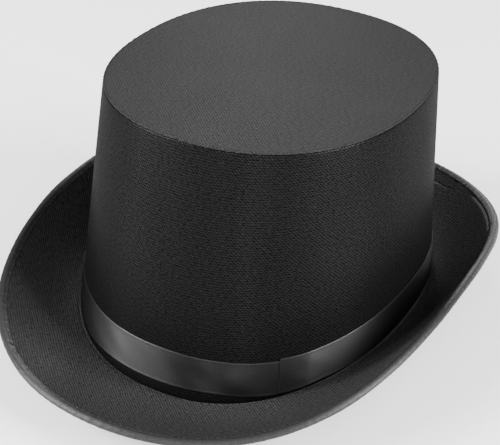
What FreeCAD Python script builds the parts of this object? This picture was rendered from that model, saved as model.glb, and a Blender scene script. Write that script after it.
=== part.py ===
# Plain stiff top hat: a tapered oval crown on a saddle-shaped brim, with satin covers,
# a ribbon hatband, a bound brim edge, a sweatband and a lining.
# The front of the hat faces -Y, +Z is up, and the hat stands on the foot of its brim at Z = 0.
import FreeCAD
import Part
import math
import os

DIMENSIONS = [
    ("crown_height", 116.4, "height of the tip above the mean level of the crown's foot"),
    ("tip_half_width", 72.9, "half the crown's width at the tip"),
    ("tip_half_length", 87.6, "half the crown's length at the tip"),
    ("foot_half_width", 82.0, "half the crown's width at its foot"),
    ("foot_half_length", 103.2, "half the crown's length at its foot"),
    ("oval_power", 2.23, "power of the head oval, 2 being an ellipse"),
    ("foot_dip", 6.1, "how far the foot dips at front and back, and rises at the sides"),
    ("brim_width", 37.6, "mean width of the brim in plan"),
    ("brim_width_swing", 11.5, "how much wider the brim is at front and back, and narrower at the sides"),
    ("edge_height", 20.9, "mean height of the brim's edge above the mean level of the foot"),
    ("edge_height_swing", 12.0, "how much lower the edge is at front and back, and higher at the sides"),
    ("edge_height_ripple", 1.1, "lift of the edge at front, back and sides against the quarters"),
    ("brim_curl_power", 1.6, "power of the brim's rise from the foot to its edge"),
    ("satin_thickness", 0.4, "satin covers"),
    ("board_thickness", 1.8, "stiff board of the crown and the brim"),
    ("tip_board_thickness", 1.5, "stiff board of the tip"),
    ("layer_gap", 0.05, "clearance between layers"),
    ("hatband_height", 17.4, "height of the ribbon"),
    ("hatband_thickness", 0.7, "thickness of the ribbon"),
    ("hatband_lift_sides", 1.0, "gap from the foot up to the ribbon at the sides"),
    ("hatband_lift_front", 5.9, "gap from the foot up to the ribbon at front and back"),
    ("binding_thickness", 0.4, "satin tape round the brim's edge"),
    ("binding_radius", 1.8, "outer radius of the binding's rolled nose"),
    ("binding_leg", 2.2, "how far the binding runs inwards from its nose"),
    ("edge_wire_radius", 0.9, "steel wire inside the binding"),
    ("tape_height", 14.0, "height of the tape that joins crown and brim inside"),
    ("tape_thickness", 0.3, "thickness of that tape"),
    ("lining_thickness", 0.3, "lining cloth"),
    ("sweatband_height", 34.0, "height of the sweatband"),
    ("sweatband_thickness", 0.9, "thickness of the sweatband"),
    ("bow_width", 22.0, "width of the small bow at the back of the sweatband"),
    ("bow_height", 7.0, "height of the bow"),
    ("bow_knot_width", 4.0, "width of the bow's knot"),
    ("bow_thickness", 0.8, "thickness of the bow's ribbon"),
    ("bow_level", 16.0, "height of the bow's middle above the foot at the back"),
]

RING_POINTS = 48
BRIM_STATIONS = (0.0, 0.2, 0.4, 0.6, 0.8, 1.0)
NOSE_STEPS = 6
WIRE_STEPS = 8

doc = FreeCAD.newDocument("TopHat")
sheet = doc.addObject("Spreadsheet::Sheet", "Dimensions")
for row, (alias, value, meaning) in enumerate(DIMENSIONS, start=1):
    sheet.set(f"A{row}", meaning)
    sheet.set(f"B{row}", str(value))
    sheet.setAlias(f"B{row}", alias)
doc.recompute()


def size(alias):
    """A driving dimension, read from the sheet."""
    return float(sheet.get(alias))


SATIN = size("satin_thickness")
BOARD = size("board_thickness")
GAP = size("layer_gap")

# Depths of the crown's layers, measured inwards from its outer face.
BOARD_OUTSIDE = SATIN + GAP
BOARD_INSIDE = BOARD_OUTSIDE + BOARD
TAPE_OUTSIDE = BOARD_INSIDE + GAP
TAPE_INSIDE = TAPE_OUTSIDE + size("tape_thickness")
LINING_OUTSIDE = TAPE_INSIDE + GAP
LINING_INSIDE = LINING_OUTSIDE + size("lining_thickness")
SWEATBAND_OUTSIDE = LINING_INSIDE + GAP
SWEATBAND_INSIDE = SWEATBAND_OUTSIDE + size("sweatband_thickness")

# Depths of the brim's layers, measured down from its upper face.
UNDER_COVER_TOP = BOARD_INSIDE + GAP
BRIM_THICKNESS = UNDER_COVER_TOP + SATIN
MID_DEPTH = BRIM_THICKNESS / 2

# Heights are worked out from the mean level of the crown's foot, then lifted onto Z = 0.
GROUND_LIFT = size("foot_dip") + BRIM_THICKNESS
TIP_LEVEL = size("crown_height")
TIP_BOARD_TOP = TIP_LEVEL - SATIN - GAP
TIP_BOARD_BOTTOM = TIP_BOARD_TOP - size("tip_board_thickness")
LINING_TIP_TOP = TIP_BOARD_BOTTOM - GAP


# The head oval -----------------------------------------------------------------------------


def headings():
    """The ring's stations as (parameter, heading): a heading of 0 is the front, a quarter turn is +X."""
    half_power = size("oval_power") / 2
    for i in range(RING_POINTS):
        turn = 2 * math.pi * i / RING_POINTS
        across = math.copysign(abs(math.sin(turn)) ** half_power, math.sin(turn))
        along = math.copysign(abs(math.cos(turn)) ** half_power, math.cos(turn))
        yield turn, math.atan2(across, along)


def oval_point(heading, half_width, half_length):
    """A point of a superellipse with the head oval's power."""
    exponent = 2 / size("oval_power")
    across, along = math.sin(heading), math.cos(heading)
    x = half_width * math.copysign(abs(across) ** exponent, across)
    y = -half_length * math.copysign(abs(along) ** exponent, along)
    return FreeCAD.Vector(x, y, 0)


def wall_half_sizes(level, depth):
    """The tapered crown wall's half width and half length, at a depth inside its face."""
    share = level / size("crown_height")
    half_width = size("foot_half_width") * (1 - share) + size("tip_half_width") * share
    half_length = size("foot_half_length") * (1 - share) + size("tip_half_length") * share
    return half_width - depth, half_length - depth


def wall_point(heading, level, depth):
    """A point of the crown wall, at a level above the foot's mean and a depth inside its face."""
    return oval_point(heading, *wall_half_sizes(level, depth)) + FreeCAD.Vector(0, 0, level + GROUND_LIFT)


def foot_level(heading):
    """Level of the line where the brim meets the crown: low at front and back, high at the sides."""
    return -size("foot_dip") * math.cos(2 * heading)


def outward(heading):
    """The direction in plan that the brim spreads in."""
    across = math.sin(heading) / size("foot_half_width")
    along = -math.cos(heading) / size("foot_half_length")
    return FreeCAD.Vector(across, along, 0).normalize()


# The brim's section: its middle surface climbs from the foot to the binding's outermost line ----


def brim_reach(heading):
    """Width of the brim in plan."""
    return size("brim_width") + size("brim_width_swing") * math.cos(2 * heading)


def brim_climb(heading):
    """Height of the edge above the middle surface's level at the foot."""
    edge_level = (
        size("edge_height")
        - size("edge_height_swing") * math.cos(2 * heading)
        + size("edge_height_ripple") * math.cos(4 * heading)
    )
    return edge_level - foot_level(heading) + MID_DEPTH


def brim_slope(heading, reach):
    """The angle at which the brim climbs, at a distance in plan from the crown."""
    width = brim_reach(heading)
    power = size("brim_curl_power")
    return math.atan(brim_climb(heading) / width * power * (max(reach, 0) / width) ** (power - 1))


def brim_point(heading, reach, rise):
    """A point at a distance in plan from the crown, and a rise square to the middle surface."""
    climb = brim_climb(heading) * (max(reach, 0) / brim_reach(heading)) ** size("brim_curl_power")
    slope = brim_slope(heading, reach)
    foot = oval_point(heading, size("foot_half_width"), size("foot_half_length"))
    aside = reach - rise * math.sin(slope)
    level = foot_level(heading) - MID_DEPTH + climb + rise * math.cos(slope)
    return foot + outward(heading) * aside + FreeCAD.Vector(0, 0, level + GROUND_LIFT)


def edge_point(heading, inwards, rise):
    """A point near the edge: inwards along the brim from the middle of the binding's nose, and square to it."""
    width = brim_reach(heading)
    slope = brim_slope(heading, width)
    along = outward(heading) * math.cos(slope) + FreeCAD.Vector(0, 0, math.sin(slope))
    return brim_point(heading, width, rise) - along * (size("binding_radius") + inwards)


# Solids between closed rings -----------------------------------------------------------------


def ring(place):
    """A smooth closed edge through the points that place(heading) gives."""
    stations = list(headings())
    parameters = [turn for turn, heading in stations] + [2 * math.pi]
    curve = Part.BSplineCurve()
    curve.interpolate(
        Points=[place(heading) for turn, heading in stations], PeriodicFlag=True, Parameters=parameters
    )
    return curve.toShape()


def skin(edges, creases=()):
    """The faces through a row of rings, smooth except at the rings whose places are in creases."""
    faces = []
    breaks = [0, *creases, len(edges) - 1]
    for first, last in zip(breaks, breaks[1:]):
        if last - first == 1:
            faces += Part.makeRuledSurface(edges[first], edges[last]).Faces
        else:
            wires = [Part.Wire([edge]) for edge in edges[first : last + 1]]
            faces += Part.makeLoft(wires, False, False).Faces
    return faces


def closed_solid(faces):
    """The solid that a set of faces encloses."""
    compound = Part.Compound(faces)
    compound.sewShape()
    solid = Part.makeSolid(compound.Shells[0])
    if solid.Volume < 0:
        solid.reverse()
    return solid


def ring_solid(label, first, second, creases=()):
    """A ring-shaped sub-part between two skins, each a list of place(heading) functions."""
    first_edges = [ring(place) for place in first]
    second_edges = [ring(place) for place in second]
    faces = skin(first_edges, creases) + skin(second_edges, creases)
    faces += skin([first_edges[0], second_edges[0]])
    faces += skin([first_edges[-1], second_edges[-1]])
    return feature(label, closed_solid(faces))


def feature(label, shape):
    """A sub-part whose shape is made from the head oval."""
    part = doc.addObject("Part::Feature", label)
    part.Label = label
    part.Shape = shape
    part.Placement = FreeCAD.Placement()
    return part


def oval_disc(label, level, depth, thickness_formula):
    """A flat disc with the crown's outline at a level, extruded upwards by a formula over the sheet."""
    outline = doc.addObject("Part::Feature", f"{label}_outline")
    outline.Shape = Part.Face(Part.Wire([ring(lambda heading: wall_point(heading, level, depth))]))
    disc = doc.addObject("Part::Extrusion", label)
    disc.Label = label
    disc.Base = outline
    disc.DirMode = "Custom"
    disc.Dir = FreeCAD.Vector(0, 0, 1)
    disc.Solid = True
    disc.setExpression("LengthFwd", thickness_formula)
    return disc


def wall_band(label, bottom, top, outer_depth, inner_depth):
    """A band of the crown wall between two level(heading) functions and two depths."""

    def corner(level, depth):
        return lambda heading: wall_point(heading, level(heading), depth)

    outer_skin = [corner(bottom, outer_depth), corner(top, outer_depth)]
    inner_skin = [corner(bottom, inner_depth), corner(top, inner_depth)]
    return ring_solid(label, outer_skin, inner_skin)


def above_foot(rise):
    """The level(heading) function of a line that follows the foot."""
    return lambda heading: foot_level(heading) + rise


def flat_at(level):
    """The level(heading) function of a level line."""
    return lambda heading: level


# Crown ---------------------------------------------------------------------------------------


def make_tip_cover():
    return oval_disc("tip_cover", TIP_LEVEL - SATIN, 0, "Dimensions.satin_thickness")


def make_tip_board():
    return oval_disc("tip_board", TIP_BOARD_BOTTOM, BOARD_OUTSIDE, "Dimensions.tip_board_thickness")


def make_crown_cover():
    return wall_band("crown_cover", above_foot(GAP), flat_at(TIP_BOARD_TOP), 0, SATIN)


def make_crown_board():
    bottom = above_foot(GAP - BOARD_OUTSIDE)
    return wall_band("crown_board", bottom, flat_at(TIP_BOARD_BOTTOM - GAP), BOARD_OUTSIDE, BOARD_INSIDE)


def make_hatband():
    def bottom(heading):
        lift = size("hatband_lift_front") - size("hatband_lift_sides")
        return foot_level(heading) + size("hatband_lift_sides") + lift * math.cos(heading) ** 4

    def top(heading):
        return bottom(heading) + size("hatband_height")

    return wall_band("hatband", bottom, top, -GAP - size("hatband_thickness"), -GAP)


# Brim ----------------------------------------------------------------------------------------


def brim_layer(label, inner_reach, edge_inset, top_depth, bottom_depth):
    """A layer of the brim, from a plan distance at the crown to an inset from the binding's edge."""

    def inner(depth):
        return lambda heading: brim_point(heading, inner_reach, MID_DEPTH - depth)

    def corner(station, depth):
        def place(heading):
            width = brim_reach(heading)
            outer_reach = width - edge_inset * math.cos(brim_slope(heading, width))
            return brim_point(heading, station * outer_reach, MID_DEPTH - depth)

        return place

    top_skin = [inner(top_depth)] + [corner(station, top_depth) for station in BRIM_STATIONS]
    bottom_skin = [inner(bottom_depth)] + [corner(station, bottom_depth) for station in BRIM_STATIONS]
    return ring_solid(label, top_skin, bottom_skin, creases=(1,))


def make_brim_top_cover():
    inset = size("binding_radius") + GAP
    return brim_layer("brim_top_cover", -SATIN, inset, 0, SATIN)


def make_brim_board():
    inset = size("binding_radius") + size("edge_wire_radius") + GAP
    return brim_layer("brim_board", -BOARD_INSIDE, inset, BOARD_OUTSIDE, BOARD_INSIDE)


def make_brim_under_cover():
    inset = size("binding_radius") + GAP
    return brim_layer("brim_under_cover", -TAPE_INSIDE, inset, UNDER_COVER_TOP, BRIM_THICKNESS)


def nose_profile(radius, leg):
    """The binding's section as (inwards, rise) pairs: a leg, a half-round nose and the other leg."""
    profile = [(leg, radius)]
    for step in range(NOSE_STEPS + 1):
        angle = math.pi / 2 - math.pi * step / NOSE_STEPS
        profile.append((-radius * math.cos(angle), radius * math.sin(angle)))
    profile.append((leg, -radius))
    return profile


def edge_places(profile):
    """The place(heading) functions of a section that runs round the brim's edge."""
    return [lambda heading, spot=spot: edge_point(heading, *spot) for spot in profile]


def make_brim_binding():
    outer_radius = size("binding_radius")
    inner_radius = outer_radius - size("binding_thickness")
    leg = size("binding_leg")
    outer = edge_places(nose_profile(outer_radius, leg))
    inner = edge_places(nose_profile(inner_radius, leg))
    return ring_solid("brim_binding", outer, inner, creases=(1, len(outer) - 2))


def make_brim_edge_wire():
    """A round wire in the binding's nose, made as an upper and a lower half that share two edges."""
    radius = size("edge_wire_radius")
    halves = []
    for side in (1, -1):
        profile = []
        for step in range(WIRE_STEPS + 1):
            angle = side * math.pi * step / WIRE_STEPS
            profile.append((radius * math.cos(angle), radius * math.sin(angle)))
        halves.append([ring(place) for place in edge_places(profile)])
    return feature("brim_edge_wire", closed_solid(skin(halves[0]) + skin(halves[1])))


# Inside --------------------------------------------------------------------------------------


def make_headline_tape():
    bottom = above_foot(GAP - UNDER_COVER_TOP)
    return wall_band("headline_tape", bottom, above_foot(size("tape_height")), TAPE_OUTSIDE, TAPE_INSIDE)


def make_lining_side():
    bottom = above_foot(GAP)
    return wall_band("lining_side", bottom, flat_at(LINING_TIP_TOP - GAP), LINING_OUTSIDE, LINING_INSIDE)


def make_lining_tip():
    level = LINING_TIP_TOP - size("lining_thickness")
    return oval_disc("lining_tip", level, SWEATBAND_OUTSIDE, "Dimensions.lining_thickness")


def make_sweatband():
    bottom = above_foot(-BOARD_INSIDE)
    top = above_foot(size("sweatband_height") - BOARD_INSIDE)
    return wall_band("sweatband", bottom, top, SWEATBAND_OUTSIDE, SWEATBAND_INSIDE)


def make_sweatband_bow():
    """A flat two-loop bow, sketched and padded, leaning with the back of the sweatband."""
    body = doc.addObject("PartDesign::Body", "sweatband_bow")
    body.Label = "sweatband_bow"
    sketch = body.newObject("Sketcher::SketchObject", "bow_outline")
    plane = next(item for item in body.Origin.OriginFeatures if item.Role == "XZ_Plane")
    sketch.AttachmentSupport = [(plane, "")]
    sketch.MapMode = "FlatFace"
    half_width = size("bow_width") / 2
    half_height = size("bow_height") / 2
    half_knot = size("bow_knot_width") / 2
    waist = half_height / 2
    corners = [
        (-half_width, -half_height),
        (-half_knot, -waist),
        (half_knot, -waist),
        (half_width, -half_height),
        (half_width, half_height),
        (half_knot, waist),
        (-half_knot, waist),
        (-half_width, half_height),
    ]
    points = [FreeCAD.Vector(x, z, 0) for x, z in corners]
    for start, end in zip(points, points[1:] + points[:1]):
        sketch.addGeometry(Part.LineSegment(start, end), False)
    pad = body.newObject("PartDesign::Pad", "bow_pad")
    pad.Profile = sketch
    pad.setExpression("Length", "Dimensions.bow_thickness")
    doc.recompute()
    level = foot_level(math.pi) + size("bow_level")
    across, along = wall_half_sizes(level, SWEATBAND_INSIDE)
    power = size("oval_power")
    bulge = along * (1 - (1 - (half_width / across) ** power) ** (1 / power))
    higher = wall_half_sizes(level + half_height, SWEATBAND_INSIDE)[1]
    lean = FreeCAD.Rotation(FreeCAD.Vector(1, 0, 0), math.degrees(math.atan2(along - higher, half_height)))
    body.Placement = FreeCAD.Placement(FreeCAD.Vector(0, along - bulge - GAP, level + GROUND_LIFT), lean)
    return body


def check(parts):
    """Stop if any object failed or any sub-part has no valid solid."""
    for item in doc.Objects:
        if "Invalid" in item.State or "Error" in item.State:
            raise RuntimeError(f"{item.Label} is {item.State}")
    for part in parts:
        if part.Shape.isNull() or not part.Shape.isValid() or not part.Shape.Solids:
            raise RuntimeError(f"{part.Label} has no valid solid")


parts = [
    make_tip_cover(),
    make_tip_board(),
    make_crown_cover(),
    make_crown_board(),
    make_hatband(),
    make_brim_top_cover(),
    make_brim_board(),
    make_brim_under_cover(),
    make_brim_binding(),
    make_brim_edge_wire(),
    make_headline_tape(),
    make_lining_side(),
    make_lining_tip(),
    make_sweatband(),
    make_sweatband_bow(),
]
doc.recompute()
check(parts)
os.makedirs("parts", exist_ok=True)
for part in parts:
    part.Shape.exportStep(f"parts/{part.Label}.step")
    box = part.Shape.BoundBox
    print(f"{part.Label}: {box.XLength:.1f} x {box.YLength:.1f}, Z {box.ZMin:.2f} to {box.ZMax:.2f}")
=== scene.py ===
"""Black satin top hat: the looks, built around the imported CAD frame.

Lengths are in metres. The front of the hat faces -Y, a heading of 0 is the front, and a quarter
turn is +X.
"""

import math

import bpy
import numpy as np
from mathutils import Matrix, Vector


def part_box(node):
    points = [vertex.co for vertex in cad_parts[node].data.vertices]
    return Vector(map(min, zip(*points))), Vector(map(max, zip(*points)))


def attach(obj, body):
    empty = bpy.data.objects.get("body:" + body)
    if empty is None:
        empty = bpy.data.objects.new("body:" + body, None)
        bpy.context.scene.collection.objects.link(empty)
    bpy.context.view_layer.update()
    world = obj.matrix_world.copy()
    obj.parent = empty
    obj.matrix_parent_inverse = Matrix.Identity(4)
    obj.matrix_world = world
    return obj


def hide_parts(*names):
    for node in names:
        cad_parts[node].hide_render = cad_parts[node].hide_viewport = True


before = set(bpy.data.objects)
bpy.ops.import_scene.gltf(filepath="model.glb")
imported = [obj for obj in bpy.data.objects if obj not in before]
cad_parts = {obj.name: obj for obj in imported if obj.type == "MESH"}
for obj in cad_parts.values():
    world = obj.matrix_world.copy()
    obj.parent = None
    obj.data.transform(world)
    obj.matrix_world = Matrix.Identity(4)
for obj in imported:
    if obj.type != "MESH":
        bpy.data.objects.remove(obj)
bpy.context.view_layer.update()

MM = 0.001
BODY = "root"

# The hat's driving sizes, as in the CAD --------------------------------------------------------

OVAL_POWER = 2.23
FOOT_HALF_WIDTH = 82.0 * MM
FOOT_HALF_LENGTH = 103.2 * MM
FOOT_DIP = 6.1 * MM
BRIM_WIDTH = 37.6 * MM
BRIM_WIDTH_SWING = 11.5 * MM
EDGE_HEIGHT = 20.9 * MM
EDGE_HEIGHT_SWING = 12.0 * MM
EDGE_HEIGHT_RIPPLE = 1.1 * MM
BRIM_CURL_POWER = 1.6
BRIM_THICKNESS = 2.7 * MM
BINDING_RADIUS = 1.8 * MM
BINDING_LEG = 2.2 * MM
HATBAND_HEIGHT = 17.4 * MM
HATBAND_LIFT_SIDES = 1.0 * MM
HATBAND_LIFT_FRONT = 5.9 * MM
SATIN = 0.4 * MM

BOARD = 1.8 * MM
TAPE = 0.3 * MM
LINING = 0.3 * MM
SWEATBAND = 0.9 * MM
SWEATBAND_HEIGHT = 34.0 * MM
GAP = 0.05 * MM

TIP_HALF_WIDTH, TIP_HALF_LENGTH, TIP_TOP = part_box("tip_cover")[1]
LINING_TIP_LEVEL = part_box("lining_tip")[0].z
GROUND_LIFT = FOOT_DIP + BRIM_THICKNESS
TIP_LEVEL = TIP_TOP - GROUND_LIFT
MID_DEPTH = BRIM_THICKNESS / 2

# Depths of the crown's layers, measured inwards from its outer face.
BOARD_INSIDE = SATIN + GAP + BOARD
TAPE_INSIDE = BOARD_INSIDE + GAP + TAPE
LINING_INSIDE = TAPE_INSIDE + GAP + LINING
SWEATBAND_OUTSIDE = LINING_INSIDE + GAP
SWEATBAND_INSIDE = SWEATBAND_OUTSIDE + SWEATBAND

GIRTH = math.pi * (FOOT_HALF_WIDTH + FOOT_HALF_LENGTH)
BACK = math.pi
AROUND = 720


# Headings and noise ------------------------------------------------------------------------------


def even(turn):
    """Headings for turns round the hat, so that even turns are evenly spread along the oval."""
    across = np.sign(np.sin(turn)) * np.abs(np.sin(turn)) ** (OVAL_POWER / 2)
    along = np.sign(np.cos(turn)) * np.abs(np.cos(turn)) ** (OVAL_POWER / 2)
    return np.unwrap(np.arctan2(across, along))


def headings(count):
    """Stations once round the hat, as a row of headings."""
    return even(2 * math.pi * np.arange(count) / count)


def apart(heading, other):
    """The angle between two headings, the short way round."""
    return np.angle(np.exp(1j * (heading - other)))


def wander(heading, lowest, highest, seed):
    """A wave of about unit height that closes round the hat, with lowest to highest cycles in a turn."""
    draw = np.random.default_rng(seed)
    cycles = np.arange(lowest, highest + 1)
    heights = draw.normal(size=len(cycles)) / math.sqrt(len(cycles) / 2)
    phases = draw.uniform(0, 2 * math.pi, len(cycles))
    return sum(h * np.cos(c * heading + p) for h, c, p in zip(heights, cycles, phases))


def smooth(low, high, value):
    """0 below low, 1 above high, and a smooth step between."""
    share = np.clip((np.asarray(value, float) - low) / (high - low), 0, 1)
    return share * share * (3 - 2 * share)


def hump(distance, width):
    """1 where the distance is 0, falling away smoothly to almost nothing two widths to either side."""
    return np.exp(-((distance / width) ** 2))


# The hat's surfaces --------------------------------------------------------------------------------


def oval(heading, half_width, half_length):
    """Plan coordinates of a superellipse with the head oval's power."""
    across, along = np.sin(heading), np.cos(heading)
    x = half_width * np.sign(across) * np.abs(across) ** (2 / OVAL_POWER)
    y = -half_length * np.sign(along) * np.abs(along) ** (2 / OVAL_POWER)
    return x, y


def wall(heading, level, depth=0.0):
    """Points of the crown wall at a level above the foot's mean, a depth inside its face."""
    share = level / TIP_LEVEL
    half_width = FOOT_HALF_WIDTH * (1 - share) + TIP_HALF_WIDTH * share - depth
    half_length = FOOT_HALF_LENGTH * (1 - share) + TIP_HALF_LENGTH * share - depth
    x, y = oval(heading, half_width, half_length)
    return np.stack([x, y, np.broadcast_to(level + GROUND_LIFT, x.shape)], -1)


def foot_level(heading):
    """The crown's foot, above its own mean level: low at the front and back, high at the sides."""
    return -FOOT_DIP * np.cos(2 * heading)


def outward(heading):
    """The plan direction that the brim spreads in, as unit vectors."""
    across = np.sin(heading) / FOOT_HALF_WIDTH
    along = -np.cos(heading) / FOOT_HALF_LENGTH
    length = np.hypot(across, along)
    return across / length, along / length


def brim_reach(heading):
    """The brim's width in plan."""
    return BRIM_WIDTH + BRIM_WIDTH_SWING * np.cos(2 * heading)


def brim_climb(heading):
    """How far the brim's middle surface rises from the crown to the edge."""
    height = EDGE_HEIGHT - EDGE_HEIGHT_SWING * np.cos(2 * heading)
    height = height + EDGE_HEIGHT_RIPPLE * np.cos(4 * heading)
    return height - foot_level(heading) + MID_DEPTH


def brim_slope(heading, reach):
    """The brim's angle above the level, at a plan distance from the crown."""
    width = brim_reach(heading)
    steepness = brim_climb(heading) / width * BRIM_CURL_POWER
    return np.arctan(steepness * (np.maximum(reach, 0) / width) ** (BRIM_CURL_POWER - 1))


def brim(heading, reach, rise):
    """Points at a plan distance from the crown and a rise square to the brim's middle surface."""
    climb = brim_climb(heading) * (np.maximum(reach, 0) / brim_reach(heading)) ** BRIM_CURL_POWER
    slope = brim_slope(heading, reach)
    x, y = oval(heading, FOOT_HALF_WIDTH, FOOT_HALF_LENGTH)
    out_x, out_y = outward(heading)
    aside = reach - rise * np.sin(slope)
    level = foot_level(heading) - MID_DEPTH + climb + rise * np.cos(slope)
    return np.stack([x + out_x * aside, y + out_y * aside, level + GROUND_LIFT + 0 * x], -1)


def edge(heading, inwards, rise):
    """Points near the brim's edge: inwards from the binding's nose, and square to the brim."""
    width = brim_reach(heading)
    slope = brim_slope(heading, width)
    out_x, out_y = outward(heading)
    back = BINDING_RADIUS + inwards
    along = np.stack([out_x * np.cos(slope), out_y * np.cos(slope), np.sin(slope)], -1)
    return brim(heading, width, rise) - along * np.expand_dims(back + 0 * heading, -1)


# Meshes ----------------------------------------------------------------------------------------------


def normals(points, closed):
    """Unit normals of a grid of points, its rows running round the hat."""
    if closed:
        across = np.roll(points, -1, 1) - np.roll(points, 1, 1)
    else:
        across = np.gradient(points, axis=1)
    up = np.gradient(points, axis=0)
    normal = np.cross(across, up)
    return normal / np.maximum(np.linalg.norm(normal, axis=-1, keepdims=True), 1e-12)


def lifted(points, amount, closed=True):
    """The grid moved along its own normals."""
    return points + normals(points, closed) * np.expand_dims(amount, -1)


def grid(name, points, closed=True, flat_weave=False):
    """A piece from a grid of points, its rows running round the hat.

    Its weave coordinates are metres round the hat and up its surface, or with flat_weave metres in
    plan, as on cloth that was cut flat.
    """
    rows, columns, _ = points.shape
    here = np.arange(columns if closed else columns - 1)
    after = (here + 1) % columns
    row = np.arange(rows - 1)[:, None]
    low, high = row * columns, (row + 1) * columns
    faces = np.stack([low + here, low + after, high + after, high + here], -1).reshape(-1, 4)
    if flat_weave:
        weave = points.reshape(-1, 3)[faces.ravel(), :2]
    else:
        wrapped = np.concatenate([points, points[:, :1]], 1) if closed else points
        around = np.linalg.norm(np.diff(wrapped, axis=1), axis=-1).mean(0)
        around = np.concatenate([[0], np.cumsum(around)])
        upward = np.linalg.norm(np.diff(points, axis=0), axis=-1).mean(1)
        upward = np.concatenate([[0], np.cumsum(upward)])
        sideways = np.stack([around[here], around[here + 1], around[here + 1], around[here]], -1)
        level = np.stack([upward[row], upward[row], upward[row + 1], upward[row + 1]], -1)
        weave = np.stack(np.broadcast_arrays(sideways[None], level), -1)
    return add(name, points.reshape(-1, 3), faces.tolist(), weave)


def add(name, vertices, faces, weave):
    """A smooth piece that rides on the hat, with its weave coordinates as its UV map."""
    mesh = bpy.data.meshes.new(name)
    mesh.from_pydata(vertices.tolist(), [], faces)
    mesh.uv_layers.new(name="weave").data.foreach_set("uv", weave.ravel())
    mesh.polygons.foreach_set("use_smooth", [True] * len(faces))
    piece = bpy.data.objects.new(name, mesh)
    bpy.context.scene.collection.objects.link(piece)
    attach(piece, BODY)
    return piece


def weld(piece):
    """Joins points that lie on each other: a tube's first and last rows, or the middle of a disc."""
    modifier = piece.modifiers.new("weld", "WELD")
    modifier.merge_threshold = 1e-6


def thicken(piece, thickness):
    """Gives a sheet its thickness, behind the face that it was made as."""
    modifier = piece.modifiers.new("thickness", "SOLIDIFY")
    modifier.thickness = thickness
    modifier.offset = -1.0


def roll(middle, side, up, radius, plump=1.0):
    """Rows of a round tube about a closed line, from the line and two unit directions square to it."""
    rows = []
    for angle in np.linspace(0, 2 * math.pi, 13):
        reach = radius * np.expand_dims(plump + 0 * middle[:, 0], -1)
        rows.append(middle + side * math.cos(angle) * reach + up * math.sin(angle) * reach)
    return np.array(rows)


def threads(name, starts, ends, ups, radius, material):
    """A group of stitches. Each arches over the cloth from its start to its end and dips in at both."""
    part = np.linspace(0, 1, 7)[None, :, None]
    arch = np.sin(math.pi * part)
    ups = ups[:, None]
    along = (ends - starts)[:, None]
    centre = starts[:, None] + along * part + ups * radius * (1.7 * arch - 0.8)
    side = np.cross(ups, along)
    side /= np.linalg.norm(side, axis=-1, keepdims=True)
    angle = np.linspace(0, 2 * math.pi, 7)[:-1][None, None, :, None]
    girth = radius * (0.5 + 0.5 * arch)[:, :, None]
    spoke = np.cos(angle) * side[:, :, None] + np.sin(angle) * ups[:, :, None]
    ring = centre[:, :, None] + girth * spoke
    count, steps, corners, _ = ring.shape
    base = np.arange(count)[:, None, None] * steps * corners + np.arange(steps - 1)[:, None] * corners
    here = np.arange(corners)
    after = (here + 1) % corners
    faces = [base + here, base + after, base + corners + after, base + corners + here]
    faces = np.stack(faces, -1).reshape(-1, 4)
    first = np.arange(count)[:, None] * steps * corners
    last = first + (steps - 1) * corners
    caps = np.concatenate([first + here[::-1], last + here])
    vertices = ring.reshape(-1, 3)
    every = faces.tolist() + caps.tolist()
    weave = vertices[np.concatenate([faces.ravel(), caps.ravel()]), :2]
    piece = add(name, vertices, every, weave)
    wear(piece, material)


def stitch_row(name, line, ups, pitch, reach, radius, material):
    """A row of stitches along a closed line, hand-guided, so that their spacing is not quite even."""
    wrapped = np.concatenate([line, line[:1]])
    travel = np.concatenate([[0], np.cumsum(np.linalg.norm(np.diff(wrapped, axis=0), axis=1))])
    count = round(travel[-1] / pitch)
    draw = np.random.default_rng(count)
    starts = travel[-1] * (np.arange(count) + draw.normal(0, 0.04, count)) / count
    lengths = reach * draw.normal(1, 0.05, count)

    def at(values, distance):
        """The values of the line's points, read at distances along it."""
        looped = np.concatenate([values, values[:1]])
        distance = distance % travel[-1]
        return np.stack([np.interp(distance, travel, looped[:, axis]) for axis in range(3)], -1)

    threads(name, at(line, starts), at(line, starts + lengths), at(ups, starts), radius, material)


# Materials ---------------------------------------------------------------------------------------

COARSE_RIB = 1.15 * MM
BIAS_RIB = 0.9 * MM
FINE_RIB = 0.5 * MM
QUARTER_TURN = 0.25


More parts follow.
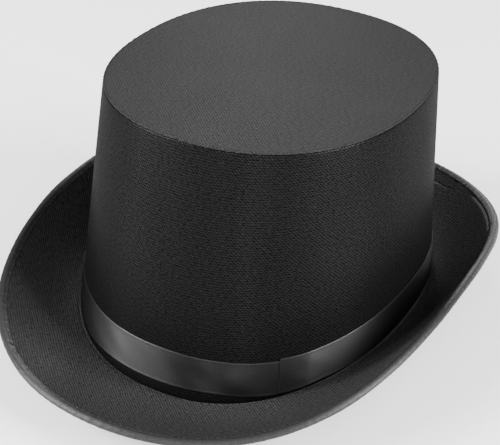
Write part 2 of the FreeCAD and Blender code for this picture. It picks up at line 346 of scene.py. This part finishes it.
class Nodes:
    """A material's node tree, written with short calls."""

    def __init__(self, name):
        self.material = bpy.data.materials.new(name)
        self.material.use_nodes = True
        self.tree = self.material.node_tree
        self.tree.nodes.clear()
        self.shader = self.node("ShaderNodeBsdfPrincipled")
        self.output = self.node("ShaderNodeOutputMaterial")
        self.tree.links.new(self.shader.outputs[0], self.output.inputs[0])

    def node(self, kind, settings=None, **inputs):
        """A new node with its settings and its inputs, an input's spaces written as underscores."""
        made = self.tree.nodes.new(kind)
        for key, value in (settings or {}).items():
            setattr(made, key, value)
        for key, value in inputs.items():
            self.put(made, key.replace("_", " "), value)
        return made

    def put(self, node, socket, value):
        """Sets a node's input to a value, or links another node's output to it."""
        target = node.inputs[int(socket)] if socket.isdigit() else node.inputs[socket]
        if isinstance(value, bpy.types.NodeSocket):
            self.tree.links.new(value, target)
        else:
            target.default_value = value

    def math(self, operation, first, second=0.0, third=None):
        """The result of a sum on two or three values."""
        node = self.node("ShaderNodeMath", {"operation": operation})
        for index, value in enumerate((first, second, third)):
            if value is not None:
                self.put(node, str(index), value)
        return node.outputs[0]

    def weave(self):
        """The weave coordinates, whole and as their two parts, in metres."""
        uv = self.node("ShaderNodeUVMap", {"uv_map": "weave"}).outputs[0]
        parts = self.node("ShaderNodeSeparateXYZ", Vector=uv)
        return uv, parts.outputs[0], parts.outputs[1]

    def noise(self, vector, scale):
        """Soft noise from 0 to 1, with its cycles in a metre."""
        made = self.node("ShaderNodeTexNoise", Vector=vector, Scale=scale, Detail=3.0, Roughness=0.6)
        return made.outputs[0]

    def stretched(self, vector, along, across):
        """Noise drawn out into threads, with its cycles in a metre along them and across them."""
        mapping = self.node("ShaderNodeMapping", Vector=vector, Scale=(along, across, 1.0))
        return self.noise(mapping.outputs[0], 1.0)

    def spread(self, value, low, high):
        """Maps a value from 0 to 1 onto low to high."""
        return self.node("ShaderNodeMapRange", Value=value, To_Min=low, To_Max=high).outputs[0]

    def step(self, value, low, high):
        """A smooth step from 0 at low to 1 at high."""
        settings = {"interpolation_type": "SMOOTHSTEP"}
        made = self.node("ShaderNodeMapRange", settings, Value=value, From_Min=low, From_Max=high)
        return made.outputs[0]

    def grey(self, value):
        """A value as a colour."""
        return self.node("ShaderNodeCombineColor", Red=value, Green=value, Blue=value).outputs[0]

    def bump(self, height, strength, distance):
        """Bends the shader's normal over a height map, and gives back the bent normal."""
        made = self.node("ShaderNodeBump", Strength=strength, Distance=distance, Height=height)
        self.put(self.shader, "Normal", made.outputs[0])
        return made.outputs[0]

    def shade(self, **values):
        """Sets the shader's inputs, or links them."""
        for socket, value in values.items():
            self.put(self.shader, socket.replace("_", " "), value)

    def add_floats(self, share, roughness, streak, normal):
        """Lays a share of glossy black floats over the shader, their shine drawn out by the streak."""
        tangent = self.node("ShaderNodeTangent", {"direction_type": "UV_MAP", "uv_map": "weave"})
        floats = self.node("ShaderNodeBsdfPrincipled", Base_Color=(0, 0, 0, 1), Roughness=roughness)
        self.put(floats, "Normal", normal)
        self.put(floats, "Tangent", tangent.outputs[0])
        self.put(floats, "Anisotropic", streak)
        self.put(floats, "Anisotropic Rotation", QUARTER_TURN)
        both = self.node("ShaderNodeMixShader", Fac=share)
        self.put(both, "1", self.shader.outputs[0])
        self.put(both, "2", floats.outputs[0])
        self.tree.links.new(both.outputs[0], self.output.inputs[0])


def wave(nodes, distance, pitch):
    """A wave from -1 to 1 with one cycle in each pitch."""
    return nodes.math("SINE", nodes.math("MULTIPLY", distance, 2 * math.pi / pitch))


def satin(
    name, tone, gloss, roughness, relief, contrast, streak=0.85, rib=COARSE_RIB, slant=0.0, selvedge=None
):
    """Black satin: matt fibres and glossy floats, on fine ribs, a twill and uneven threads.

    The tone is the matt fibres' colour. The gloss is the share of the surface that the floats take,
    and the streak is how far their shine is drawn out across the ribs. The relief is how far the
    ribs stand, and the contrast is how much lighter they are than the gaps: the weave's pattern,
    with painted shade in the gaps. A slant of 1 cuts the cloth on the bias. The selvedge is a
    ribbon's height, whose two woven edges are paler: partly their own colour, partly a painted
    highlight.
    """
    nodes = Nodes(name)
    uv, around, upward = nodes.weave()
    straight = nodes.math("MULTIPLY_ADD", around, slant, upward)
    across = nodes.math("MULTIPLY_ADD", nodes.noise(uv, 140.0), rib * 1.2, straight)
    ribs = wave(nodes, across, rib)
    twill = wave(nodes, nodes.math("ADD", across, around), rib * math.sqrt(2))
    weave = nodes.math("MULTIPLY", nodes.math("ADD", ribs, twill), 0.5)
    uneven = nodes.math("SUBTRACT", nodes.stretched(uv, 600.0, 1100.0), 0.5)
    normal = nodes.bump(nodes.math("MULTIPLY_ADD", uneven, 3.0, weave), 1.0, relief)
    # The ribs are lighter than the gaps in the colour: the weave's pattern, with painted shade in the
    # gaps.
    pattern = nodes.math("MULTIPLY_ADD", uneven, 4.0, weave)
    mottle_and_gap_shade = nodes.math("ADD", pattern, nodes.spread(nodes.noise(uv, 25.0), -0.25, 0.25))
    light = nodes.math("MAXIMUM", nodes.math("MULTIPLY_ADD", mottle_and_gap_shade, contrast, 1.0), 0.05)
    colour = nodes.math("MULTIPLY", light, tone)
    if selvedge:
        # The two woven edges are paler: partly their own colour, partly a painted highlight along them.
        middle = nodes.math("ABSOLUTE", nodes.math("SUBTRACT", upward, selvedge / 2))
        paler_edge_and_highlight = nodes.step(middle, selvedge / 2 - 1.0 * MM, selvedge / 2 - 0.5 * MM)
        colour = nodes.math("MULTIPLY_ADD", paler_edge_and_highlight, 0.01, colour)
    nodes.shade(Base_Color=nodes.grey(colour), Roughness=0.9, Specular_IOR_Level=0.0)
    share = nodes.math("MINIMUM", nodes.math("MULTIPLY", light, gloss), 1.0)
    nodes.add_floats(share, roughness, streak, normal)
    return nodes.material


def leather(name):
    """Imitation leather: pebbled grain with fine creases between the pebbles."""
    nodes = Nodes(name)
    uv, _, _ = nodes.weave()
    cells = nodes.node("ShaderNodeTexVoronoi", Vector=uv, Scale=900.0).outputs[0]
    height = nodes.math("MULTIPLY_ADD", nodes.noise(uv, 1800.0), 0.3, cells)
    nodes.bump(height, 0.5, 0.12 * MM)
    nodes.shade(Base_Color=nodes.grey(nodes.spread(nodes.noise(uv, 40.0), 0.012, 0.03)))
    nodes.shade(Roughness=nodes.spread(cells, 0.42, 0.6))
    return nodes.material


def tape_cloth(name):
    """Plain woven cotton tape: threads over and under each other."""
    nodes = Nodes(name)
    uv, _, _ = nodes.weave()
    weft = nodes.stretched(uv, 300.0, 1600.0)
    warp = nodes.stretched(uv, 1600.0, 300.0)
    both = nodes.math("MULTIPLY", nodes.math("ADD", weft, warp), 0.5)
    nodes.bump(both, 0.6, 0.15 * MM)
    nodes.shade(Base_Color=nodes.grey(nodes.spread(both, 0.01, 0.05)))
    nodes.shade(Roughness=nodes.spread(both, 0.75, 0.95))
    return nodes.material


def cast(name, tone, roughness, grain, along=None, metallic=0.0):
    """A material with a fine grain that needs no weave coordinates: board, wire and thread."""
    nodes = Nodes(name)
    place = nodes.node("ShaderNodeTexCoord").outputs["Object"]
    speck = nodes.stretched(place, grain, along or grain)
    nodes.bump(speck, 0.4, 0.1 * MM)
    nodes.shade(Base_Color=nodes.grey(nodes.spread(speck, tone * 0.6, tone * 1.4)))
    nodes.shade(Roughness=nodes.spread(speck, roughness - 0.12, roughness + 0.12), Metallic=metallic)
    return nodes.material


def wear(piece, material):
    """Gives a piece its material."""
    piece.data.materials.clear()
    piece.data.materials.append(material)


def finish_node(node, material):
    """Gives a CAD node that keeps its shape its material."""
    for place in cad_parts[node].material_slots:
        place.material = material


# Crown -------------------------------------------------------------------------------------------

TIP_EDGE_INSET = 0.6 * MM
TIP_SEAM_RADIUS = 0.42 * MM


def oval_rows(half_width, half_length, level, sink, shares):
    """Rows of an oval disc from its middle outwards. sink gives how far below its level a row lies."""
    heading = headings(AROUND)
    rows = []
    for share in shares:
        x, y = oval(heading, half_width * share, half_length * share)
        rows.append(np.stack([x, y, level - sink(heading, share)], -1))
    return np.array(rows)


def make_tip(material):
    """The flat tip's satin, drawn over the board with a slight give towards its middle."""

    def sink(heading, share):
        """A shallow, uneven dip, and the turn down over the tip's edge."""
        give = 0.12 * MM * (1 - share**2) * (1 + 0.5 * share * wander(heading, 1, 4, 11))
        return give + 0.3 * MM * smooth(0.994, 1.0, share)

    shares = np.concatenate([np.linspace(0, 0.9, 30), np.linspace(0.92, 0.992, 10), [0.996, 1.0]])
    half_width, half_length = TIP_HALF_WIDTH - TIP_EDGE_INSET, TIP_HALF_LENGTH - TIP_EDGE_INSET
    rows = oval_rows(half_width, half_length, TIP_TOP, sink, shares)
    piece = grid("tip_satin", rows[::-1], flat_weave=True)
    weld(piece)
    thicken(piece, SATIN)
    wear(piece, material)
    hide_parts("tip_cover")


def oval_line(heading, half_width, half_length, level):
    """A level oval line, with the directions out of it and up from it."""
    x, y = oval(heading, half_width, half_length)
    out_x, out_y = outward(heading)
    flat = np.zeros(len(heading))
    side = np.stack([out_x, out_y, flat], -1)
    up = np.stack([flat, flat, flat + 1], -1)
    return np.stack([x, y, flat + level], -1), side, up


def make_tip_seam(material):
    """The fine ridge where the tip is sewn to the side: a roll that stands just proud of both."""
    heading = headings(AROUND)
    inset = TIP_SEAM_RADIUS
    line = oval_line(heading, TIP_HALF_WIDTH - inset, TIP_HALF_LENGTH - inset, TIP_TOP - 0.3 * MM)
    plump = 1 + 0.12 * wander(heading, 90, 160, 21)
    piece = grid("tip_seam", roll(*line, TIP_SEAM_RADIUS, plump))
    weld(piece)
    wear(piece, material)


def make_crown_cover(material):
    """The side's satin, sewn to the tip above, turned in at the foot, with its own seam up the back."""
    heading = headings(AROUND)
    foot = foot_level(heading)
    top = TIP_LEVEL - 0.7 * MM
    shares = np.concatenate([[0.0, 0.004, 0.01], np.linspace(0.02, 0.99, 54), [0.996, 1.0]])
    rows = [wall(heading, foot + (top - foot) * share) for share in shares]
    amount = np.zeros((len(shares), AROUND))
    for index, share in enumerate(shares):
        turned_in = 0.35 * MM * (1 - smooth(0, 0.012, share)) + 0.3 * MM * smooth(0.993, 1.0, share)
        slack = 0.1 * MM * wander(heading + 0.5 * share, 3, 14, 31) * math.sin(math.pi * share)
        amount[index] = slack - turned_in + back_seam(heading) * (1 - smooth(0.98, 1, share))
    piece = grid("crown_satin", lifted(np.array(rows), amount))
    thicken(piece, SATIN)
    wear(piece, material)
    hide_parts("crown_cover")


def back_seam(heading):
    """The upright seam at the back: a narrow groove between two slight swells."""
    off = apart(heading, BACK) * FOOT_HALF_WIDTH
    return 0.18 * MM * hump(off, 2.2 * MM) - 0.5 * MM * hump(off, 0.5 * MM)


# Hatband -----------------------------------------------------------------------------------------

LAP_HEADING = math.radians(38)
LAP_LENGTH = 16 * MM


def make_hatband(material):
    """The ribbon: one strip that starts under its own end and runs once round the crown."""
    lap = LAP_LENGTH / FOOT_HALF_LENGTH
    close_to_end = np.array([0.5, 0.25, 0.1, 0.0]) * MM / (GIRTH + LAP_LENGTH)
    share = np.concatenate([np.linspace(0, 1, AROUND + 24)[:-1], 1 - close_to_end])
    heading = LAP_HEADING + lap - share * (2 * math.pi + lap)
    from_start = share * (GIRTH + LAP_LENGTH)
    from_end = (1 - share) * (GIRTH + LAP_LENGTH)
    under_dip = 1.2 * MM * (1 - smooth(5 * MM, 60 * MM, from_start))
    over_rise = 0.3 * MM * (1 - smooth(0, 30 * MM, from_end))
    left_rise = 1.0 * MM * hump(apart(heading, math.radians(-50)), 0.5)
    bottom = foot_level(heading) + HATBAND_LIFT_SIDES
    bottom += (HATBAND_LIFT_FRONT - HATBAND_LIFT_SIDES) * np.cos(heading) ** 4
    top = bottom + HATBAND_HEIGHT - under_dip + over_rise + left_rise
    bottom += 0.25 * MM * wander(heading, 4, 11, 41) - 0.5 * under_dip
    over = 1 - smooth(LAP_LENGTH - 2 * MM, LAP_LENGTH + 8 * MM, from_end)
    stand = 0.35 * MM + 0.38 * MM * over
    near_edge = np.array([0.0, 0.012, 0.03, 0.05, 0.075])
    parts = np.concatenate([near_edge, np.linspace(0.1, 0.9, 17), 1 - near_edge[::-1]])
    rows = []
    for part in parts:
        selvedge = 0.16 * MM * hump(min(part, 1 - part) - 0.03, 0.018)
        belly = 0.12 * MM * math.sin(math.pi * part)
        slack = 0.1 * MM * wander(heading + 0.3 * part, 9, 30, 42) * (1 - 4 * (part - 0.5) ** 2)
        rows.append(wall(heading, bottom + (top - bottom) * part, -(stand + selvedge + belly + slack)))
    piece = grid("hatband_ribbon", np.array(rows)[:, ::-1], closed=False)
    thicken(piece, 0.3 * MM)
    wear(piece, material)
    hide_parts("hatband")


# Brim --------------------------------------------------------------------------------------------

CREASE_HEIGHT = 1.0 * MM
INNER_CREASE_HEIGHT = 1.5 * MM


def brim_rows(rise, from_reach, seed, side):
    """The satin of one face of the brim, from the crown to under the binding, puckered at the edge.

    The side is 1 for the upper face and -1 for the under face.
    """
    heading = headings(AROUND)
    width = brim_reach(heading)
    end = width - (BINDING_RADIUS + 0.4 * MM) * np.cos(brim_slope(heading, width))
    by_the_crown = np.linspace(0, 0.06, 6)
    by_the_edge = np.linspace(0.735, 1, 28)
    shares = np.concatenate([by_the_crown, np.linspace(0.08, 0.72, 22), by_the_edge])
    points = np.array([brim(heading, from_reach + (end - from_reach) * share, rise) for share in shares])
    pucker = wander(heading, 60, 150, seed)
    broad = wander(heading, 5, 16, seed + 1)
    amount = np.zeros(points.shape[:2])
    for index, share in enumerate(shares):
        to_edge = (1 - share) * (end - from_reach)
        from_crown = share * (end - from_reach)
        pull = np.exp(-np.maximum(to_edge - BINDING_LEG, 0) / (5 * MM))
        joint_roll = 0.3 * MM * hump(from_crown - 1.1 * MM, 0.6 * MM)
        swell = 0.12 * MM * broad * smooth(0.0, 0.15, share) * (1 - 0.5 * share)
        amount[index] = side * (0.09 * MM * pucker * pull + swell) + joint_roll * (side > 0)
        if side > 0:
            amount[index] += crease(heading, to_edge)
    return lifted(points, amount)


def crease(heading, to_edge):
    """Two creases in the satin at the right and back: one beside the binding, and one further in."""
    turn = apart(heading, 0.0)
    beside = hump(to_edge - 2.7 * MM, 0.55 * MM) * smooth(2.08, 2.2, turn)
    beside *= 1 - smooth(2.5, 2.6, turn)
    inset = 7.2 * MM + 12 * MM * (turn - 2.7)
    further_in = hump(to_edge - inset, 0.5 * MM) * smooth(2.68, 2.74, turn)
    further_in *= 1 - smooth(2.86, 2.95, turn)
    height = CREASE_HEIGHT * beside + INNER_CREASE_HEIGHT * further_in
    return height * (1 + 0.2 * wander(heading, 12, 30, 55))


def make_brim_covers(material):
    """The satin of the brim's two faces."""
    top = grid("brim_top_satin", brim_rows(MID_DEPTH, 0.0, 51, 1)[:, ::-1], flat_weave=True)
    under = grid("brim_under_satin", brim_rows(-MID_DEPTH, -TAPE_INSIDE, 61, -1), flat_weave=True)
    for piece, node in ((top, "brim_top_cover"), (under, "brim_under_cover")):
        thicken(piece, SATIN)
        wear(piece, material)
        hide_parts(node)


def binding_section():
    """The binding's section as (inwards, rise) pairs: turned-under edge, leg, nose and back again."""
    turned = [(BINDING_LEG + 0.15 * MM, BINDING_RADIUS - 0.45 * MM)]
    turned.append((BINDING_LEG + 0.1 * MM, BINDING_RADIUS - 0.15 * MM))
    leg = [(BINDING_LEG * part, BINDING_RADIUS) for part in (0.93, 0.7, 0.45, 0.2)]
    angles = np.radians(np.arange(90, -91, -15))
    nose = [(-BINDING_RADIUS * math.cos(angle), BINDING_RADIUS * math.sin(angle)) for angle in angles]
    back = [(inwards, -rise) for inwards, rise in reversed(turned + leg)]
    return turned + leg + nose + back


def make_binding(material):
    """The bias tape rolled over the brim's edge, a little puckered by its stitches."""
    heading = headings(AROUND * 2)
    pucker = wander(heading, 110, 260, 71)
    swell = wander(heading, 8, 24, 72)
    section = binding_section()
    points = np.array([edge(heading, inwards, rise) for inwards, rise in section])
    amount = np.zeros(points.shape[:2])
    for index, (inwards, _) in enumerate(section):
        on_leg = smooth(0, BINDING_LEG * 0.6, inwards)
        amount[index] = (0.03 + 0.08 * on_leg) * MM * pucker + 0.06 * MM * swell
    piece = grid("brim_binding_tape", lifted(points, -amount)[::-1])
    thicken(piece, 0.35 * MM)
    wear(piece, material)
    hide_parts("brim_binding")


def make_binding_stitches(material):
    """The machine stitches that hold the binding, one row on each face of the brim."""
    heading = headings(AROUND)
    for name, side in (("binding_stitches_top", 1), ("binding_stitches_under", -1)):
        places = (BINDING_LEG - 0.7 * MM, BINDING_LEG - 0.5 * MM)
        line = np.array([edge(heading, place, side * BINDING_RADIUS) for place in places])
        ups = normals(line, closed=True)[0] * side
        stitch_row(name, line[0], ups, 2.8 * MM, 1.8 * MM, 0.14 * MM, material)


# Inside ------------------------------------------------------------------------------------------

SWEATBAND_FOOT = -BOARD_INSIDE
SWEATBAND_TOP = SWEATBAND_FOOT + SWEATBAND_HEIGHT
REED_RADIUS = 0.48 * MM
JOIN_GAP = 0.8 * MM


def make_sweatband(material):
    """Imitation leather folded round a reed at its lower edge, its two ends meeting at the back."""
    start = BACK + JOIN_GAP / 2 / FOOT_HALF_WIDTH
    turn = np.linspace(start, 2 * BACK + 2 * math.pi - start, AROUND + 1)
    heading = even(turn)
    from_end = np.minimum(turn - turn[0], turn[-1] - turn) * FOOT_HALF_WIDTH
    corner = 5 * MM
    inside_corner = np.maximum(corner - from_end, 0)
    top = SWEATBAND_TOP - corner + np.sqrt(corner**2 - inside_corner**2)
    flat = np.zeros(len(heading))
    profile = [(flat + level * MM, flat + SWEATBAND_OUTSIDE) for level in (1.5, 0.6, -0.4, -1.2)]
    for angle in np.linspace(math.pi, 2 * math.pi, 9):
        level = SWEATBAND_FOOT + REED_RADIUS * (1 + math.sin(angle))
        profile.append((flat + level, flat + SWEATBAND_OUTSIDE + REED_RADIUS * (1 + math.cos(angle))))
    front_foot = SWEATBAND_FOOT + REED_RADIUS
    waves = wander(heading, 5, 18, 81)
    for share in np.concatenate([np.linspace(0.03, 0.9, 26), [0.93, 0.96, 0.985, 1.0]]):
        level = front_foot + (top - front_foot) * share
        lean = 0.12 * MM * waves * smooth(0.15, 0.8, share) + 0.25 * MM * smooth(0.85, 1.0, share)
        profile.append((level, SWEATBAND_INSIDE - 0.05 * MM + lean))
    foot = foot_level(heading)
    rows = np.array([wall(heading, foot + level, depth) for level, depth in profile])
    piece = grid("sweatband_leather", rows[:, ::-1], closed=False)
    thicken(piece, 0.42 * MM)
    wear(piece, material)
    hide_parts("sweatband")


def band_face(heading, height, depth):
    """Points inside the crown at a height above the foot, with the directions towards the head."""
    steps = np.array([0.0, 0.5 * MM])
    level = foot_level(heading) + height
    points = np.array([wall(heading, level + step, depth) for step in steps])
    return points[0], -normals(points, closed=False)[0]


def make_sweatband_stitches(material):
    """The stitches through the sweatband's foot, and the zigzag that joins its ends at the back."""
    line, ups = band_face(headings(AROUND), 1.1 * MM, SWEATBAND_INSIDE)
    stitch_row("sweatband_stitches", line, ups, 3.2 * MM, 2.2 * MM, 0.17 * MM, material)
    heights = np.arange(2.0, 27.0, 1.1) * MM
    side = np.where(np.arange(len(heights)) % 2, 1.3, -1.3) * MM / FOOT_HALF_WIDTH
    zigzag, _ = band_face(even(BACK + side), heights, SWEATBAND_INSIDE)
    starts, ends = zigzag[:-1], zigzag[1:]
    threads("sweatband_join", starts, ends, face_inwards(starts), 0.17 * MM, material)


def face_inwards(points):
    """The direction towards the head at points on the back of the sweatband."""
    return np.broadcast_to(np.array([0.0, -1.0, 0.0]), points.shape)


def on_sweatband_back(x, level, stand):
    """Points that stand out from the sweatband's inner face at the back, at an x and above its foot."""
    half_width = FOOT_HALF_WIDTH - SWEATBAND_INSIDE
    half_length = FOOT_HALF_LENGTH - SWEATBAND_INSIDE
    lean = (FOOT_HALF_LENGTH - TIP_HALF_LENGTH) / TIP_LEVEL * (level + foot_level(BACK))
    y = half_length * (1 - np.abs(x / half_width) ** OVAL_POWER) ** (1 / OVAL_POWER) - lean - stand
    return np.stack(np.broadcast_arrays(x, y, level + foot_level(BACK) + GROUND_LIFT), -1)


def bow_place():
    """The bow's half width and half height, and how far above the foot its middle is."""
    low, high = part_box("sweatband_bow")
    middle = (low.z + high.z) / 2 - GROUND_LIFT - foot_level(BACK)
    return (high.x - low.x) / 2, (high.z - low.z) / 2, middle


def make_bow_loops(material):
    """The small flat bow's two loops: ribbon folded back on itself and pinched at the middle."""
    half_width, half_height, middle = bow_place()
    fold = 0.42 * MM
    across = np.linspace(-1, 1, 25)[:, None]
    for name, side in (("bow_loop_left", -1), ("bow_loop_right", 1)):
        straight = np.linspace(0, half_width - fold, 28)
        turn = np.linspace(-math.pi / 2, math.pi / 2, 13)[1:-1]
        x = np.concatenate([straight, half_width - fold + fold * np.cos(turn), straight[::-1]])
        loft = np.concatenate([0 * straight, fold + fold * np.sin(turn), 2 * fold + 0 * straight])
        loft += 0.2 * MM * np.sin(math.pi * x / half_width) * (loft > fold)
        open_out = smooth(0, 0.55 * half_width, x)
        height = half_height * (0.42 + 0.58 * open_out)
        pleat = 0.22 * MM * np.cos(3 * math.pi * across) * (1 - open_out)
        level = middle + across * height + 0 * x
        rows = on_sweatband_back(side * x + 0 * across, level, 0.2 * MM + loft + pleat)
        piece = grid(name, rows if side < 0 else rows[:, ::-1], closed=False)
        thicken(piece, 0.15 * MM)
        wear(piece, material)
        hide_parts("sweatband_bow")


def make_bow_knot(material):
    """The bow's knot: ribbon wrapped round the middle of the loops."""
    _, half_height, middle = bow_place()
    around = np.linspace(0, 2 * math.pi, 33)[:-1]
    rows = []
    for part in np.linspace(-1, 1, 15):
        plump = 1 - 0.14 * part**2
        level = middle + 0.52 * half_height * plump * np.sin(around)
        stand = 0.66 * MM + 0.62 * MM * plump * np.cos(around)
        stand += 0.05 * MM * np.cos(5 * around) * np.maximum(np.cos(around), 0)
        rows.append(on_sweatband_back(part * 2.0 * MM + 0 * around, level, stand))
    piece = grid("bow_knot", np.array(rows))
    thicken(piece, 0.15 * MM)
    wear(piece, material)
    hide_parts("sweatband_bow")


def make_lining_side(material):
    """Thin lining up the inside of the crown: flat behind the sweatband, lightly gathered above it."""
    heading = headings(AROUND * 3 // 2)
    foot = foot_level(heading)
    top = LINING_TIP_LEVEL - GROUND_LIFT - 0.2 * MM
    drift = wander(heading, 3, 12, 91)
    strength = 0.75 + 0.25 * wander(heading, 6, 20, 92)
    rows = []
    for share in np.linspace(0, 1, 46):
        level = foot + GAP + (top - foot - GAP) * share
        loose = smooth(SWEATBAND_TOP, SWEATBAND_TOP + 14 * MM, level - foot)
        phase = 64 * heading + 1.6 * drift + 0.7 * share * wander(heading, 8, 20, 93)
        pleat = (0.5 + 0.5 * np.sin(phase)) ** 1.6 * strength
        sway = 0.25 * (1 + wander(heading + share, 4, 10, 94))
        rows.append(wall(heading, level, LINING_INSIDE + loose * (1.1 * pleat + sway) * MM))
    piece = grid("lining_side_cloth", np.array(rows)[:, ::-1])
    thicken(piece, 0.15 * MM)
    wear(piece, material)
    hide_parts("lining_side")


def make_lining_tip(material):
    """The lining's oval, which hangs a little from the seam that joins it to the side."""
    inset = LINING_INSIDE + 0.3 * MM
    half_width, half_length = TIP_HALF_WIDTH - inset, TIP_HALF_LENGTH - inset

    def sink(heading, share):
        """A slight sag, with wrinkles that start from the seam."""
        sag = 1.6 * MM * (1 - share**2)
        wrinkle = 0.22 * MM * wander(heading, 14, 40, 95) * share**4 * (1 - smooth(0.93, 1, share))
        return sag + wrinkle + 0.35 * MM * share**2 * wander(heading, 1, 5, 96) * (1 - share)

    shares = np.concatenate([np.linspace(0, 0.7, 22), np.linspace(0.73, 1.0, 20)])
    rows = oval_rows(half_width, half_length, LINING_TIP_LEVEL, sink, shares)
    piece = grid("lining_tip_cloth", rows, flat_weave=True)
    weld(piece)
    thicken(piece, 0.15 * MM)
    wear(piece, material)
    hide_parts("lining_tip")
    heading = headings(AROUND)
    line = oval_line(heading, half_width, half_length, LINING_TIP_LEVEL - 0.45 * MM)
    seam = grid("lining_seam", roll(*line, 0.5 * MM, 1 + 0.15 * wander(heading, 60, 120, 97)))
    weld(seam)
    wear(seam, material)


# Floor, light and camera -------------------------------------------------------------------------


def make_stage():
    """A plain pale floor that the hat stands on."""
    nodes = Nodes("floor_paper")
    place = nodes.node("ShaderNodeTexCoord").outputs["Object"]
    nodes.shade(Base_Color=nodes.grey(nodes.spread(nodes.noise(place, 3.0), 0.8, 0.84)), Roughness=0.9)
    mesh = bpy.data.meshes.new("floor")
    reach = 8.0
    corners = [(-reach, -reach, 0), (reach, -reach, 0), (reach, reach, 0), (-reach, reach, 0)]
    mesh.from_pydata(corners, [], [(0, 1, 2, 3)])
    mesh.materials.append(nodes.material)
    floor = bpy.data.objects.new("floor", mesh)
    bpy.context.scene.collection.objects.link(floor)


def towards(azimuth, elevation):
    """The direction from the hat at an azimuth and elevation in degrees: 0 is in front, 90 is +X."""
    azimuth, elevation = math.radians(azimuth), math.radians(elevation)
    level = math.cos(elevation)
    return Vector((math.sin(azimuth) * level, -math.cos(azimuth) * level, math.sin(elevation)))


def softbox(name, azimuth, elevation, distance, size, watts):
    """A soft area light aimed at the hat's middle and kept out of the camera's view."""
    light = bpy.data.lights.new(name, "AREA")
    light.shape = "RECTANGLE"
    light.size, light.size_y = size
    light.energy = watts
    holder = bpy.data.objects.new(name, light)
    bpy.context.scene.collection.objects.link(holder)
    back = towards(azimuth, elevation)
    holder.location = Vector((0, 0, 0.06)) + back * distance
    holder.rotation_mode = "QUATERNION"
    holder.rotation_quaternion = back.to_track_quat("Z", "Y")
    holder.visible_camera = False


def make_light():
    """A soft studio: a low even surround, upright strips round the hat, and five small softboxes."""
    world = bpy.data.worlds.new("studio")
    world.use_nodes = True
    background = world.node_tree.nodes["Background"]
    background.inputs["Color"].default_value = (1, 1, 1, 1)
    background.inputs["Strength"].default_value = 0.3
    bpy.context.scene.world = world
    strip_size = (0.3, 0.9)
    box_size = (0.3, 0.3)
    panel_size = (0.7, 0.7)
    # Each strip's azimuth in degrees and its power in watts.
    strips = ((-65, 14), (-47, 61), (-30, 25), (8, 13), (45, 7), (83, 42), (101, 50), (207, 19))
    for azimuth, watts in strips:
        softbox(f"strip_{azimuth % 360}", azimuth, 26, 1.6, strip_size, watts)
    softbox("low_front_softbox", 30, 6, 1.6, box_size, 8)
    softbox("low_right_softbox", 64, 6, 1.6, box_size, 4)
    softbox("low_back_softbox", 160, 6, 1.6, box_size, 4)
    softbox("high_left_softbox", -47, 60, 1.7, panel_size, 3)
    softbox("high_right_softbox", 101, 60, 1.7, panel_size, 9)


def make_camera():
    """The camera above and to the front right of the hat, slightly rolled."""
    azimuth = 26.97
    elevation = 31.32
    roll_angle = math.radians(3.47)
    distance = 608.7 * MM
    back = towards(azimuth, elevation)
    right = towards(azimuth + 90, 0)
    up = back.cross(right)
    # The crown's middle stands a little to the right of the view's middle and above it.
    aim = Vector((0, 0, 60 * MM + GROUND_LIFT)) - right * 7.5 * MM - up * 25.5 * MM
    rolled_right = right * math.cos(roll_angle) + up * math.sin(roll_angle)
    rolled_up = up * math.cos(roll_angle) - right * math.sin(roll_angle)
    data = bpy.data.cameras.new("camera")
    data.lens = 88.6
    data.sensor_width = 36
    data.clip_start, data.clip_end = 0.01, 100
    camera = bpy.data.objects.new("camera", data)
    bpy.context.scene.collection.objects.link(camera)
    rotation = Matrix((rolled_right, rolled_up, back)).transposed()
    camera.matrix_world = Matrix.Translation(aim + back * distance) @ rotation.to_4x4()
    bpy.context.scene.camera = camera


# Everything --------------------------------------------------------------------------------------

# The crown's satin is the same cloth as the tip's and the brim's, but its tone is about a sixth of
# theirs: painted shade on the upright side.
crown_satin = satin("crown_satin", tone=0.003, gloss=0.08, roughness=0.3, relief=0.03 * MM, contrast=0.6)
tip_satin = satin(
    "tip_satin", tone=0.0175, gloss=0.02, roughness=0.35, relief=0.03 * MM, contrast=0.4, streak=0.0
)
brim_satin = satin(
    "brim_satin", tone=0.0185, gloss=0.02, roughness=0.35, relief=0.05 * MM, contrast=0.75, streak=0.0
)
ribbon_satin = satin(
    "ribbon_satin",
    tone=0.0005,
    gloss=0.7,
    roughness=0.45,
    relief=0.003 * MM,
    contrast=0.15,
    rib=FINE_RIB,
    selvedge=HATBAND_HEIGHT,
)
binding_satin = satin(
    "binding_satin",
    tone=0.023,
    gloss=0.5,
    roughness=0.45,
    relief=0.02 * MM,
    contrast=0.4,
    rib=BIAS_RIB,
    slant=1.0,
)
bow_satin = satin(
    "bow_satin", tone=0.002, gloss=0.6, roughness=0.4, relief=0.004 * MM, contrast=0.3, rib=FINE_RIB
)
lining_satin = satin(
    "lining_satin", tone=0.008, gloss=0.3, roughness=0.45, relief=0.006 * MM, contrast=0.3, rib=FINE_RIB
)
band_leather = leather("sweatband_leather")
thread = cast("thread", 0.014, 0.5, 3000.0)
board = cast("millinery_board", 0.03, 0.85, 1500.0, along=400.0)
wire = cast("edge_wire", 0.45, 0.35, 200.0, along=2500.0, metallic=1.0)

make_camera()
make_stage()
make_light()
make_tip(tip_satin)
make_tip_seam(tip_satin)
make_crown_cover(crown_satin)
make_hatband(ribbon_satin)
make_brim_covers(brim_satin)
make_binding(binding_satin)
make_binding_stitches(thread)
make_sweatband(band_leather)
make_sweatband_stitches(thread)
make_bow_loops(bow_satin)
make_bow_knot(bow_satin)
make_lining_side(lining_satin)
make_lining_tip(lining_satin)
for board_node in ("tip_board", "crown_board", "brim_board"):
    finish_node(board_node, board)
finish_node("brim_edge_wire", wire)
finish_node("headline_tape", tape_cloth("headline_cloth"))
